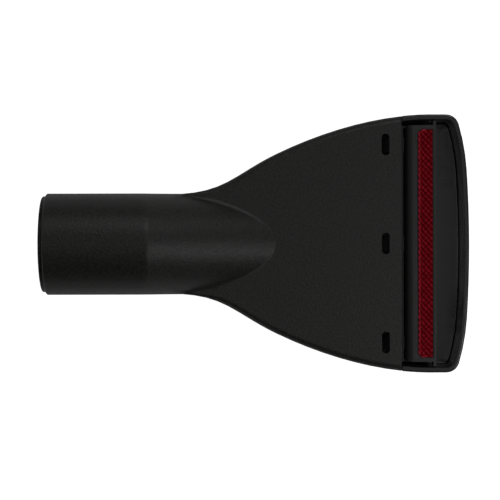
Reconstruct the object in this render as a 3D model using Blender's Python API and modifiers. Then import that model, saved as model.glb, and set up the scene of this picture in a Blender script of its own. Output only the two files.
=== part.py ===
"""Upholstery nozzle for a 35 mm vacuum wand, lying on its back with its mouth up.

A round socket takes the wand and bends down into a flat, fan-shaped bell. The bell is two
mouldings: the nozzle body carries the socket, the bent neck and the textured sole plate, and
the back shell is a smooth tray that closes the air way and whose rim frames the mouth. A lint
strip of red pile lies on a carrier that hooks into three windows of the plate.

Units are metres. +X runs from the socket to the mouth, +Y across and +Z up, towards the side
that faces the cloth in use. The origin is on the surface that the nozzle lies on, under the
middle of its length. Lengths named "..._X" are measured along the nozzle from the socket's
open end.
"""
import math

import bmesh
import bpy

# Overall sizes
OVERALL_LENGTH = 0.16615
MOUTH_HALF_WIDTH = 0.05035
PLATE_HEIGHT = 0.0206
FIT_GAP = 0.0003

# Socket for the wand: a round tube with a stepped lip and a stop ring inside
BORE_RADIUS = 0.0177
BORE_TAPER = 0.0004
BORE_LEAD_IN = 0.0004
SOCKET_DEPTH = 0.0390
STOP_STEP = 0.0018
STOP_LENGTH = 0.0015
SOCKET_WALL = 0.00203
TUBE_RADIUS = BORE_RADIUS + SOCKET_WALL
TUBE_END_CHAMFER = 0.0005
LIP_STEP = 0.00108
LIP_LENGTH = 0.0015
LIP_EDGE = 0.0003

# Bent neck
BEND_X = 0.0380
BEND_ANGLE = math.radians(21.0)
BEND_SOFTNESS = 0.0010
NECK_FILLET = 0.0034

# Fan outline at the height of the plate: two curves that meet at the flare point
FAN_START_X = 0.0508
FAN_START_STEP = 0.00023
FLARE_X = 0.0874
FLARE_HALF_WIDTH = 0.03328
FLARE_ANGLE = math.radians(28.0)
FAN_START_HANDLE = 0.0181
FLARE_HANDLE_BACK = 0.0149
FLARE_HANDLE_FRONT = 0.0080
WIDEST_X = 0.1509
WIDEST_HANDLE = 0.0290

# Front edge: a flat arc, a tighter shoulder arc on each side, and round corners
FRONT_ARC_RADIUS = 0.455
FRONT_ARC_HALF_WIDTH = 0.0290
SHOULDER_RADIUS = 0.0800
CORNER_RADIUS = 0.0052

# Walls
WALL = 0.0020
WALL_DRAFT = 0.0003
PLATE_EDGE_RADIUS = 0.0028
PLATE_INNER_EDGE_RADIUS = 0.0008
SIDE_BASE_RADIUS = 0.0028
FRONT_BASE_RADIUS = 0.0023
BASE_CORNER_RADIUS = 0.0026

# Split between the two mouldings
SPLIT_X = 0.0612
SEAM_HEIGHT = 0.0170

# Rim of the back shell round the mouth
RIM_DROP = 0.0004
SIDE_RIM_WALL = 0.0022
FRONT_RIM_WALL = 0.0019
RIM_OUTER_RADIUS = 0.0008
RIM_INNER_RADIUS = 0.0003
SEAM_EDGE = 0.00015
INNER_DRAFT = 0.0002

# Sole plate's front edge and windows
PLATE_FRONT_X = 0.1397
LEDGE_LENGTH = 0.0008
LEDGE_DROP = 0.0010
WINDOW_X = 0.1335
WINDOW_TO_SIDE = 0.01185
WINDOW_LENGTH = 0.0084
WINDOW_WIDTH = 0.0030
WINDOW_CORNER = 0.0013

# Carrier of the lint strip
CARRIER_FRONT_X = 0.1532
CARRIER_REAR_GAP = 0.0005
CARRIER_END_GAP = 0.0021
CARRIER_DEPTH = 0.0126
CARRIER_WALL = 0.0014
CARRIER_TOP_WALL = 0.0018
CARRIER_SHOULDER_RADIUS = 0.0035
CARRIER_CORNER_RADIUS = 0.0018
CARRIER_RIB_COUNT = 5
FLANGE_THICKNESS = 0.0012
LUG_DEPTH = 0.0080
LUG_END_GAP = 0.0004
HOOK_THICKNESS = 0.0024
HOOK_RELIEF = 0.0012
HOOK_RELIEF_LENGTH = 0.0010
HOOK_RECESS = 0.0006
HOOK_TIP = 0.0006

# Lint strip
STRIP_WIDTH = 0.0055
STRIP_END_MARGIN = 0.0018
STRIP_THICKNESS = 0.0014
STRIP_SEAT_DEPTH = 0.0007
STRIP_CORNER_RADIUS = 0.0020
STRIP_EDGE = 0.0003

# Facets of the half section, from the top centre outwards and down to the bottom centre
ARC_STEPS = 8
FILLET_STEPS = 5
BEND_STEPS = 4
FLAT_STEPS = 2
EDGE_STEPS = 4
LOWER_STEPS = 8
ROOF_STEPS = 2
NECK_ROWS = 15
FAN_ROWS = 8
NECK_SHOULDER_ANGLE = math.radians(32.0)

# Facets round the bore, along the plan of the bell's front and on small radii
BORE_FACETS = 56
SIDE_STEPS = 5
CORNER_STEPS = 6
SHOULDER_STEPS = 3
FRONT_STEPS = 4
RIM_STEPS = 3
SHOULDER_PROFILE_STEPS = 6
OUTLINE_CORNER_STEPS = 5

# How far cutters run past what they cut, and the least room between a cut and the next row
OVERCUT = 0.002
BEND_ROW_MARGIN = 0.0025
STOP_ROW_MARGIN = 0.002
SPLIT_ROW_MARGIN = 0.001
NARROWEST_ROW_COSINE = 0.05

# Small step that keeps two joined faces out of one plane, and the distance that merges points
FACE_STEP = 0.0001
MERGE_DISTANCE = 1e-6
MIRROR_MERGE_DISTANCE = 1e-5
LEDGE_ROOT = 0.003

# Where the plate's ledge first shows beside the neck, and how it shares its small width there
LEDGE_EMERGES_X = 0.0485
LEDGE_FULL_X = 0.0582
LEDGE_EDGE_SHARE = 0.38
LEDGE_FILLET_SHARE = 0.58

# Colours of the four pieces: colour, roughness
BODY_FINISH = ((0.014, 0.014, 0.013), 0.55)
SHELL_FINISH = ((0.015, 0.015, 0.014), 0.28)
CARRIER_FINISH = ((0.014, 0.014, 0.014), 0.45)
STRIP_FINISH = ((0.36, 0.008, 0.025), 0.95)


def clear_scene():
    """Remove every object that the scene starts with."""
    for item in list(bpy.data.objects):
        bpy.data.objects.remove(item, do_unlink=True)


def make_collection(name):
    """Add a collection to the scene."""
    collection = bpy.data.collections.new(name)
    bpy.context.scene.collection.children.link(collection)
    return collection


def make_material(name, finish):
    """Make a plain plastic or pile material."""
    colour, roughness = finish
    material = bpy.data.materials.new(name)
    material.use_nodes = True
    shader = material.node_tree.nodes["Principled BSDF"]
    shader.inputs["Base Color"].default_value = (*colour, 1.0)
    shader.inputs["Roughness"].default_value = roughness
    shader.inputs["Metallic"].default_value = 0.0
    return material


def place_x(distance):
    """Turn a distance from the socket's open end into the part's X."""
    return distance - OVERALL_LENGTH / 2


def steps(first, last, count):
    """Values from first to last in equal steps, both ends included."""
    return [first + (last - first) * k / count for k in range(count + 1)]


def ease(value):
    """Smooth rise from 0 to 1."""
    value = min(1.0, max(0.0, value))
    return value * value * (3 - 2 * value)


def bezier(points, t):
    """Point at t on a cubic curve in the plane."""
    weights = ((1 - t) ** 3, 3 * t * (1 - t) ** 2, 3 * t ** 2 * (1 - t), t ** 3)
    return tuple(sum(w * p[axis] for w, p in zip(weights, points)) for axis in (0, 1))


def fan_curves():
    """Control points of the two curves of the flank."""
    run = math.cos(FLARE_ANGLE)
    rise = math.sin(FLARE_ANGLE)
    start = (FAN_START_X, TUBE_RADIUS - FAN_START_STEP)
    flare = (FLARE_X, FLARE_HALF_WIDTH)
    widest = (WIDEST_X, MOUTH_HALF_WIDTH)
    rear = (
        start,
        (start[0] + FAN_START_HANDLE, start[1]),
        (flare[0] - FLARE_HANDLE_BACK * run, flare[1] - FLARE_HANDLE_BACK * rise),
        flare,
    )
    front = (
        flare,
        (flare[0] + FLARE_HANDLE_FRONT * run, flare[1] + FLARE_HANDLE_FRONT * rise),
        (widest[0] - WIDEST_HANDLE, widest[1]),
        widest,
    )
    return rear, front


def half_width(x):
    """Half width of the fan outline at a distance from the socket's end."""
    rear, front = fan_curves()
    if x <= rear[0][0]:
        return rear[0][1]
    if x >= front[3][0]:
        return front[3][1]
    curve = rear if x < rear[3][0] else front
    low = 0.0
    high = 1.0
    for _ in range(40):
        middle = (low + high) / 2
        if bezier(curve, middle)[0] < x:
            low = middle
        else:
            high = middle
    return bezier(curve, (low + high) / 2)[1]


def neck_height(x):
    """Height of the neck's middle line, which sinks after the bend."""
    return TUBE_RADIUS - max(0.0, x - BEND_X) * math.tan(BEND_ANGLE)


def neck_apex(inset):
    """Where the neck's top line meets the plate, for a skin inset from the outside."""
    top = TUBE_RADIUS + (TUBE_RADIUS - inset) / math.cos(BEND_ANGLE)
    return BEND_X + (top - PLATE_HEIGHT + inset) / math.tan(BEND_ANGLE)


def base_radius(x):
    """Radius of the edge along the back: half round at the neck, tight on the bell's sides."""
    return max(SIDE_BASE_RADIUS, neck_height(x))


def fillet_angle(a, b, centre, plate, radius):
    """Angle on the neck's oval where a fillet down to the plate starts."""
    low = math.asin(min(1.0, max(-1.0, (plate - centre) / b)))
    high = math.pi / 2
    for _ in range(40):
        angle = (low + high) / 2
        normal_y = math.cos(angle) / a
        normal_z = math.sin(angle) / b
        height = centre + b * math.sin(angle) + radius * normal_z / math.hypot(normal_y, normal_z)
        if height < plate + radius:
            low = angle
        else:
            high = angle
    return (low + high) / 2


def oval_point(a, b, centre, angle):
    """Point (y, z) on the neck's oval section."""
    return a * math.cos(angle), centre + b * math.sin(angle)


def oval_half(a, b, centre):
    """Upper half section where only the neck shows, with the columns of the fan section."""
    side_steps = FILLET_STEPS + FLAT_STEPS + EDGE_STEPS + 1
    angles = steps(math.pi / 2, NECK_SHOULDER_ANGLE, ARC_STEPS)
    angles += steps(NECK_SHOULDER_ANGLE, 0.0, side_steps)[1:-1]
    return [oval_point(a, b, centre, angle) for angle in angles]


def fan_half(x, inset):
    """Upper half section of the fan: neck, fillet, flat plate and rounded edge."""
    a = TUBE_RADIUS - inset
    b = a / math.cos(BEND_ANGLE)
    centre = neck_height(x)
    plate = PLATE_HEIGHT - inset
    width = half_width(x) - inset
    rise = (plate - centre) / b
    if rise < 1:
        ledge = width - a * math.sqrt(1 - rise * rise)
    else:
        ledge = width
    edge = min(max(PLATE_EDGE_RADIUS - inset, PLATE_INNER_EDGE_RADIUS), LEDGE_EDGE_SHARE * ledge)
    fillet = min(NECK_FILLET + inset, LEDGE_FILLET_SHARE * ledge)
    points = []
    if rise < 1:
        start = fillet_angle(a, b, centre, plate, fillet)
        points += [oval_point(a, b, centre, angle) for angle in steps(math.pi / 2, start, ARC_STEPS)]
        y, z = points[-1]
        centre_y = y + math.sqrt(max(0.0, fillet ** 2 - (plate + fillet - z) ** 2))
        first = math.atan2(z - plate - fillet, y - centre_y)
        if first > 0:
            first -= 2 * math.pi
        for angle in steps(first, -math.pi / 2, FILLET_STEPS)[1:]:
            points.append((centre_y + fillet * math.cos(angle), plate + fillet + fillet * math.sin(angle)))
    else:
        points += [(0.0, plate)] * (ARC_STEPS + FILLET_STEPS + 1)
    for y in steps(points[-1][0], width - edge, FLAT_STEPS)[1:]:
        points.append((y, plate))
    for angle in steps(math.pi / 2, 0.0, EDGE_STEPS)[1:]:
        points.append((width - edge + edge * math.cos(angle), plate - edge + edge * math.sin(angle)))
    return points


def lower_half(x, inset):
    """Lower half section: foot of the side wall, edge along the back, flat back."""
    radius = base_radius(x)
    side = max(half_width(x) - WALL_DRAFT, TUBE_RADIUS if radius > SIDE_BASE_RADIUS else 0.0)
    centre = side - radius
    points = []
    for angle in steps(0.0, math.pi / 2, LOWER_STEPS):
        points.append((centre + (radius - inset) * math.cos(angle), radius - (radius - inset) * math.sin(angle)))
    points += [(y, inset) for y in steps(centre, 0.0, ROOF_STEPS)[1:]]
    return points


def neck_half(x, inset):
    """Whole half section from the bend on: the neck's oval grows into the fan's section."""
    a = TUBE_RADIUS - inset
    oval = oval_half(a, a / math.cos(BEND_ANGLE), neck_height(x))
    share = ease((x - LEDGE_EMERGES_X) / (LEDGE_FULL_X - LEDGE_EMERGES_X))
    if share <= 0:
        upper = oval
    else:
        fan = fan_half(x, inset)
        upper = [
            (n[0] + (f[0] - n[0]) * share, n[1] + (f[1] - n[1]) * share)
            for n, f in zip(oval, fan)
        ]
    return upper + lower_half(x, inset)


def round_half(radius, centre):
    """Half section of the round tube, with the same columns as the fan's section."""
    lower = [
        (radius * math.cos(angle), centre - radius * math.sin(angle))
        for angle in steps(0.0, math.pi / 2, LOWER_STEPS)
    ]
    return oval_half(radius, radius, centre) + lower + [(0.0, centre - radius)] * ROOF_STEPS


def tube_row(x, radius, centre):
    """Row of points round the tube at a distance from its open end."""
    return [(place_x(x), y, z) for y, z in round_half(radius, centre)]


def tube_rows():
    """Rows of the socket: stepped lip, chamfer and straight tube, lying on its lowest line."""
    lip = TUBE_RADIUS - LIP_STEP
    return [
        tube_row(0.0, lip - LIP_EDGE, TUBE_RADIUS),
        tube_row(LIP_EDGE, lip, TUBE_RADIUS),
        tube_row(LIP_LENGTH, lip, TUBE_RADIUS),
        tube_row(LIP_LENGTH, TUBE_RADIUS - TUBE_END_CHAMFER, TUBE_RADIUS),
        tube_row(LIP_LENGTH + TUBE_END_CHAMFER, TUBE_RADIUS, TUBE_RADIUS),
    ]


def bend_row(shift):
    """Row along the crease of the bend, moved along the tube or the neck by a small shift.

    The crease is drawn in a little, so that it runs in an arc over its softness on each side.
    """
    radius = TUBE_RADIUS
    half_turn = math.tan(BEND_ANGLE / 2)
    run = shift * (math.cos(BEND_ANGLE) if shift > 0 else 1.0)
    fall = max(0.0, shift) * math.sin(BEND_ANGLE)
    draw_in = half_turn * (BEND_SOFTNESS - abs(shift)) ** 2 / (2 * BEND_SOFTNESS)
    lower_at = len(oval_half(radius, radius, radius))
    section = round_half(radius, radius)
    row = []
    for y, z in section[:lower_at]:
        rise = z - radius
        kept = 1 - draw_in * rise / radius ** 2
        row.append((place_x(BEND_X + rise * half_turn + run), y * kept, radius + rise * kept - fall))
    lower = lower_half(BEND_X + run, 0.0) if shift > 0 else section[lower_at:]
    row += [(place_x(BEND_X + run), y, z) for y, z in lower]
    return row


def neck_places(inset):
    """Distances of the rows from the bend to the apex, closer where the neck's edge turns."""
    apex = neck_apex(inset)
    span = TUBE_RADIUS / math.sin(BEND_ANGLE)
    first = BEND_X + TUBE_RADIUS * math.tan(BEND_ANGLE / 2) + BEND_ROW_MARGIN
    widest = math.acos(max(NARROWEST_ROW_COSINE, 1 - (apex - first) / span))
    return [apex - span * (1 - math.cos(turn)) for turn in steps(widest, 0.0, NECK_ROWS)]


def section_rows(places, inset):
    """Rows of the skin at the given distances."""
    return [[(place_x(x), y, z) for y, z in neck_half(x, inset)] for x in places]


def skin_half(name, rows, collection):
    """Half of a closed skin from its rows, mirrored across the middle plane.

    Each row runs from the top centre outwards and down to the bottom centre. The first and the
    last row are closed by a flat face.
    """
    mesh = bpy.data.meshes.new(name)
    work = bmesh.new()
    grid = [[work.verts.new(point) for point in row] for row in rows]
    for back, ahead in zip(grid, grid[1:]):
        for k in range(len(back) - 1):
            work.faces.new((back[k], back[k + 1], ahead[k + 1], ahead[k]))
    work.faces.new(grid[0])
    work.faces.new(list(reversed(grid[-1])))
    finish_half(work, mesh)
    return mirrored_object(name, mesh, collection)


def finish_half(work, mesh):
    """Merge the points where a skin closes, drop empty faces and point the rest outwards."""
    bmesh.ops.remove_doubles(work, verts=work.verts, dist=MERGE_DISTANCE)
    bmesh.ops.dissolve_degenerate(work, edges=work.edges, dist=MERGE_DISTANCE)
    inside = [face for face in work.faces if all(abs(vert.co.y) < MERGE_DISTANCE for vert in face.verts)]
    bmesh.ops.delete(work, geom=inside, context="FACES")
    bmesh.ops.recalc_face_normals(work, faces=work.faces)
    if sum(face.normal.y * face.calc_area() for face in work.faces) < 0:
        bmesh.ops.reverse_faces(work, faces=work.faces)
    work.to_mesh(mesh)
    work.free()


def mirrored_object(name, mesh, collection):
    """Object whose mesh is one half, completed by a Mirror across the middle plane."""
    item = bpy.data.objects.new(name, mesh)
    collection.objects.link(item)
    mirror = item.modifiers.new("both_sides", "MIRROR")
    mirror.use_axis = (False, True, False)
    mirror.use_mirror_merge = True
    mirror.merge_threshold = MIRROR_MERGE_DISTANCE
    return item


def turned(name, profile, x, centre, collection):
    """Round solid turned about the X axis from (distance, radius) points, outer side first."""
    mesh = bpy.data.meshes.new(name)
    verts = [(radius, 0.0, -distance) for distance, radius in profile]
    mesh.from_pydata(verts, [(k, k + 1) for k in range(len(verts) - 1)], [])
    item = bpy.data.objects.new(name, mesh)
    collection.objects.link(item)
    item.rotation_euler = (0.0, -math.pi / 2, 0.0)
    item.location = (place_x(x), 0.0, centre)
    screw = item.modifiers.new("turn", "SCREW")
    screw.steps = BORE_FACETS
    screw.render_steps = BORE_FACETS
    screw.use_merge_vertices = True
    screw.merge_threshold = MIRROR_MERGE_DISTANCE
    return item


def prism(name, outline, low, high, collection, upright=True):
    """Flat outline extruded between two heights, or sideways along Y when it isn't upright."""
    curve = bpy.data.curves.new(name, "CURVE")
    curve.dimensions = "2D"
    curve.fill_mode = "BOTH"
    curve.extrude = (high - low) / 2
    spline = curve.splines.new("POLY")
    spline.points.add(len(outline) - 1)
    for point, (u, v) in zip(spline.points, outline):
        point.co = (u, v, 0.0, 1.0)
    spline.use_cyclic_u = True
    source = bpy.data.objects.new(name + "_outline", curve)
    collection.objects.link(source)
    if upright:
        source.location = (0.0, 0.0, (low + high) / 2)
    else:
        source.rotation_euler = (math.pi / 2, 0.0, 0.0)
        source.location = (0.0, (low + high) / 2, 0.0)
    bpy.context.view_layer.update()
    evaluated = source.evaluated_get(bpy.context.evaluated_depsgraph_get())
    mesh = bpy.data.meshes.new_from_object(evaluated)
    mesh.transform(source.matrix_world)
    mesh.name = name
    work = bmesh.new()
    work.from_mesh(mesh)
    bmesh.ops.remove_doubles(work, verts=work.verts, dist=MERGE_DISTANCE)
    bmesh.ops.recalc_face_normals(work, faces=work.faces)
    work.to_mesh(mesh)
    work.free()
    bpy.data.objects.remove(source, do_unlink=True)
    item = bpy.data.objects.new(name, mesh)
    collection.objects.link(item)
    return item


def box(name, low, high, collection):
    """Box between two corners."""
    bpy.ops.mesh.primitive_cube_add(size=1.0)
    item = bpy.context.active_object
    item.name = name
    for owner in list(item.users_collection):
        owner.objects.unlink(item)
    collection.objects.link(item)
    for corner in item.data.vertices:
        for axis in range(3):
            corner.co[axis] = high[axis] if corner.co[axis] > 0 else low[axis]
    return item


def rounded_outline(low, high, radii, count=OUTLINE_CORNER_STEPS):
    """Rectangle in the plane with a radius for each corner, anticlockwise from low, low."""
    corners = (
        (low[0], low[1], math.pi),
        (high[0], low[1], 1.5 * math.pi),
        (high[0], high[1], 0.0),
        (low[0], high[1], 0.5 * math.pi),
    )
    points = []
    for (x, y, first), radius in zip(corners, radii):
        if radius <= 0:
            points.append((x, y))
            continue
        centre_x = x + radius if x == low[0] else x - radius
        centre_y = y + radius if y == low[1] else y - radius
        for angle in steps(first, first + math.pi / 2, count):
            points.append((centre_x + radius * math.cos(angle), centre_y + radius * math.sin(angle)))
    return points


def combine(item, other, operation):
    """Join, cut or trim a solid with another one."""
    boolean = item.modifiers.new(other.name, "BOOLEAN")
    boolean.operation = operation
    boolean.solver = "EXACT"
    boolean.object = other
    other.hide_render = True
    other.display_type = "WIRE"


def finish(item, material, sharp_degrees=32.0):
    """Give a piece its material and smooth shading on its round faces."""
    item.data.materials.clear()
    item.data.materials.append(material)
    item.data.shade_smooth()
    item.data.set_sharp_from_angle(angle=math.radians(sharp_degrees))


def plan_front(side_inset, front_inset, corner):
    """Plan of the bell's front from the plate's front edge to the middle, for half the width.

    The points run along the side, round the corner and along the shoulder and the front arc.
    """
    side = MOUTH_HALF_WIDTH - side_inset
    front = OVERALL_LENGTH - front_inset
    front_radius = FRONT_ARC_RADIUS - front_inset
    turn = math.asin(FRONT_ARC_HALF_WIDTH / FRONT_ARC_RADIUS)
    meet_x = front - front_radius * (1 - math.cos(turn))
    meet_y = front_radius * math.sin(turn)
    shoulder_radius = SHOULDER_RADIUS - front_inset
    centre_x = meet_x - shoulder_radius * math.cos(turn)
    centre_y = meet_y - shoulder_radius * math.sin(turn)
    corner_y = side - corner
    reach = shoulder_radius - corner
    corner_x = centre_x + math.sqrt(reach ** 2 - (corner_y - centre_y) ** 2)
    corner_turn = math.asin((corner_y - centre_y) / reach)
    start = PLATE_FRONT_X + FIT_GAP
    points = []
    for x in steps(start, corner_x, SIDE_STEPS):
        points.append((x, half_width(x) - side_inset))
    for angle in steps(math.pi / 2, corner_turn, CORNER_STEPS)[1:]:
        points.append((corner_x + corner * math.cos(angle), corner_y + corner * math.sin(angle)))
    for angle in steps(corner_turn, turn, SHOULDER_STEPS)[1:]:
        points.append((centre_x + shoulder_radius * math.cos(angle), centre_y + shoulder_radius * math.sin(angle)))
    for angle in steps(turn, 0.0, FRONT_STEPS)[1:]:
        points.append((front - front_radius * (1 - math.cos(angle)), front_radius * math.sin(angle)))
    return points


def shell_plan():
    """Plan points of the back shell's rows.

    Each row holds the outer top, outer base, inner top and inner base point of the wall, and
    whether the row belongs to the mouth's rim.
    """
    rows = []
    split = SPLIT_X + FIT_GAP
    places = [x for x in neck_places(0.0) if x > split + SPLIT_ROW_MARGIN]
    places += steps(neck_apex(0.0), PLATE_FRONT_X + FIT_GAP, FAN_ROWS)[1:]
    for x in [split] + places:
        width = half_width(x)
        radius = base_radius(x)
        base = width - WALL_DRAFT - radius
        rows.append(((x, width), (x, base), (x, width - SIDE_RIM_WALL), (x, base), False))
    outer_top = plan_front(0.0, 0.0, CORNER_RADIUS)
    outer_base = plan_front(
        WALL_DRAFT + SIDE_BASE_RADIUS,
        WALL_DRAFT + FRONT_BASE_RADIUS,
        BASE_CORNER_RADIUS,
    )
    inner_top = plan_front(SIDE_RIM_WALL, FRONT_RIM_WALL, CORNER_RADIUS - FRONT_RIM_WALL)
    for top, base, inner in zip(outer_top, outer_base, inner_top):
        rows.append((top, base, inner, base, True))
    return rows


def toward(first, second, distance):
    """Point at a distance from the first point on the way to the second."""
    length = math.hypot(second[0] - first[0], second[1] - first[1])
    share = distance / length
    return first[0] + (second[0] - first[0]) * share, first[1] + (second[1] - first[1]) * share


def shell_row(outer, base, inner, inner_base, is_rim):
    """Closed half section of the back shell: back, outer wall, rim, inner wall and floor."""
    top = PLATE_HEIGHT - RIM_DROP if is_rim else SEAM_HEIGHT - FIT_GAP
    outer_round = RIM_OUTER_RADIUS if is_rim else SEAM_EDGE
    inner_round = RIM_INNER_RADIUS if is_rim else SEAM_EDGE
    foot = toward(outer, base, WALL_DRAFT)
    radius = math.hypot(foot[0] - base[0], foot[1] - base[1])
    inner_foot = toward(inner, inner_base, INNER_DRAFT)
    inner_radius = math.hypot(inner_foot[0] - inner_base[0], inner_foot[1] - inner_base[1])

    def on_wall(high, low, low_height, height):
        share = (PLATE_HEIGHT - height) / (PLATE_HEIGHT - low_height)
        return high[0] + (low[0] - high[0]) * share, high[1] + (low[1] - high[1]) * share

    row = [(base[0], y, 0.0) for y in steps(0.0, base[1], ROOF_STEPS)]
    for angle in steps(math.pi / 2, 0.0, LOWER_STEPS)[1:]:
        share = math.cos(angle)
        row.append((
            base[0] + (foot[0] - base[0]) * share,
            base[1] + (foot[1] - base[1]) * share,
            radius * (1 - math.sin(angle)),
        ))
    wall = on_wall(outer, foot, radius, top - outer_round)
    for angle in steps(0.0, math.pi / 2, RIM_STEPS):
        x, y = toward(wall, base, outer_round * (1 - math.cos(angle)))
        row.append((x, y, top - outer_round * (1 - math.sin(angle))))
    edge = on_wall(inner, inner_foot, WALL + inner_radius, top)
    x, y = toward(edge, base, -inner_round)
    row.append((x, y, top))
    x, y = on_wall(inner, inner_foot, WALL + inner_radius, top - inner_round)
    row.append((x, y, top - inner_round))
    for angle in steps(0.0, math.pi / 2, LOWER_STEPS // 2):
        share = math.cos(angle)
        row.append((
            inner_base[0] + (inner_foot[0] - inner_base[0]) * share,
            inner_base[1] + (inner_foot[1] - inner_base[1]) * share,
            WALL + inner_radius * (1 - math.sin(angle)),
        ))
    row += [(inner_base[0], y, WALL) for y in steps(inner_base[1], 0.0, ROOF_STEPS)[1:]]
    return [(place_x(x), y, z) for x, y, z in row]


def build_back_shell(parts, material):
    """Smooth tray that closes the bell: flat back, drafted walls and the rim of the mouth."""
    rows = [shell_row(*points) for points in shell_plan()]
    mesh = bpy.data.meshes.new("back_shell")
    work = bmesh.new()
    grid = [[work.verts.new(point) for point in row] for row in rows]
    for back, ahead in zip(grid, grid[1:]):
        for k in range(len(back) - 1):
            work.faces.new((back[k], back[k + 1], ahead[k + 1], ahead[k]))
    work.faces.new(grid[0])
    finish_half(work, mesh)
    shell = mirrored_object("back_shell", mesh, parts)
    finish(shell, material)
    return shell


def build_body(parts, cutters, material):
    """Nozzle body: socket, bent neck and sole plate in one moulding."""
    places = neck_places(0.0) + steps(neck_apex(0.0), PLATE_FRONT_X, FAN_ROWS)[1:]
    rows = tube_rows()
    rows += [bend_row(shift) for shift in steps(-BEND_SOFTNESS, BEND_SOFTNESS, BEND_STEPS)]
    rows += section_rows(places, 0.0)
    body = skin_half("nozzle_body", rows, parts)

    stop_x = SOCKET_DEPTH + STOP_LENGTH
    inner_places = [stop_x] + [x for x in neck_places(WALL) if x > stop_x + STOP_ROW_MARGIN]
    inner_places += steps(neck_apex(WALL), PLATE_FRONT_X + OVERCUT, FAN_ROWS)[1:]
    hollow = skin_half("air_way", section_rows(inner_places, WALL), cutters)
    combine(body, hollow, "DIFFERENCE")

    bore_at_stop = BORE_RADIUS - BORE_TAPER
    bore_profile = [
        (-OVERCUT, 0.0),
        (-OVERCUT, BORE_RADIUS + BORE_LEAD_IN + OVERCUT),
        (BORE_LEAD_IN, BORE_RADIUS),
        (SOCKET_DEPTH, bore_at_stop),
        (SOCKET_DEPTH, bore_at_stop - STOP_STEP),
        (stop_x + OVERCUT, bore_at_stop - STOP_STEP),
        (stop_x + OVERCUT, 0.0),
    ]
    bore = turned("socket_bore", bore_profile, 0.0, TUBE_RADIUS, cutters)
    combine(body, bore, "DIFFERENCE")

    ledge = box(
        "plate_ledge",
        (place_x(PLATE_FRONT_X - LEDGE_ROOT), -carrier_half_length(), PLATE_HEIGHT - WALL + FACE_STEP),
        (place_x(PLATE_FRONT_X + LEDGE_LENGTH), carrier_half_length(), PLATE_HEIGHT - LEDGE_DROP),
        cutters,
    )
    combine(body, ledge, "UNION")

    split = [
        (place_x(SPLIT_X), -OVERCUT),
        (place_x(OVERALL_LENGTH), -OVERCUT),
        (place_x(OVERALL_LENGTH), SEAM_HEIGHT),
        (place_x(SPLIT_X), SEAM_HEIGHT),
    ]
    below = prism("below_seam", split, -2 * MOUTH_HALF_WIDTH, 2 * MOUTH_HALF_WIDTH, cutters, upright=False)
    combine(body, below, "DIFFERENCE")

    for row, y in enumerate(window_places()):
        outline = rounded_outline(
            (place_x(WINDOW_X) - WINDOW_WIDTH / 2, y - WINDOW_LENGTH / 2),
            (place_x(WINDOW_X) + WINDOW_WIDTH / 2, y + WINDOW_LENGTH / 2),
            [WINDOW_CORNER] * 4,
        )
        window = prism(f"window_{row}", outline, PLATE_HEIGHT - 2 * WALL, PLATE_HEIGHT + WALL, cutters)
        combine(body, window, "DIFFERENCE")
    finish(body, material)
    return body


def window_places():
    """Middle of each window across the plate."""
    pitch = MOUTH_HALF_WIDTH - WINDOW_TO_SIDE
    return -pitch, 0.0, pitch


def carrier_rear_x():
    """Rear face of the carrier, behind the gap to the plate's ledge."""
    return PLATE_FRONT_X + LEDGE_LENGTH + CARRIER_REAR_GAP


def carrier_half_length():
    """Half of the carrier's length across the mouth."""
    return MOUTH_HALF_WIDTH - SIDE_RIM_WALL - CARRIER_END_GAP


def strip_front_x():
    """Front edge of the lint strip, behind the carrier's flange."""
    return CARRIER_FRONT_X - FLANGE_THICKNESS - FIT_GAP


def strip_half_length():
    """Half of the lint strip's length."""
    return carrier_half_length() - STRIP_END_MARGIN


def strip_outline(grow):
    """Outline of the strip, rounded at its rear corners, grown on every side."""
    front = strip_front_x() + grow
    rear = strip_front_x() - STRIP_WIDTH - grow
    half = strip_half_length() + grow
    radius = STRIP_CORNER_RADIUS + grow
    return rounded_outline((place_x(rear), -half), (place_x(front), half), (radius, 0.0, 0.0, radius))


def hook_profile():
    """Side view of a snap hook.

    It leaves the carrier as a thin arm, runs thicker under the plate and ends in a ramp whose
    catch stands in the window.
    """
    under_plate = PLATE_HEIGHT - WALL - FIT_GAP
    foot = under_plate - HOOK_THICKNESS
    tip_x = place_x(WINDOW_X - WINDOW_WIDTH / 2 + FIT_GAP)
    catch_x = place_x(WINDOW_X + WINDOW_WIDTH / 2 - FIT_GAP)
    relief_x = place_x(PLATE_FRONT_X - HOOK_RELIEF_LENGTH)
    root_x = place_x(carrier_rear_x() + CARRIER_WALL / 2)
    return [
        (tip_x, foot),
        (root_x, foot),
        (root_x, under_plate - HOOK_RELIEF),
        (relief_x, under_plate - HOOK_RELIEF),
        (relief_x, under_plate),
        (catch_x, under_plate),
        (catch_x, PLATE_HEIGHT - HOOK_RECESS),
        (tip_x, foot + HOOK_TIP),
    ]


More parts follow.
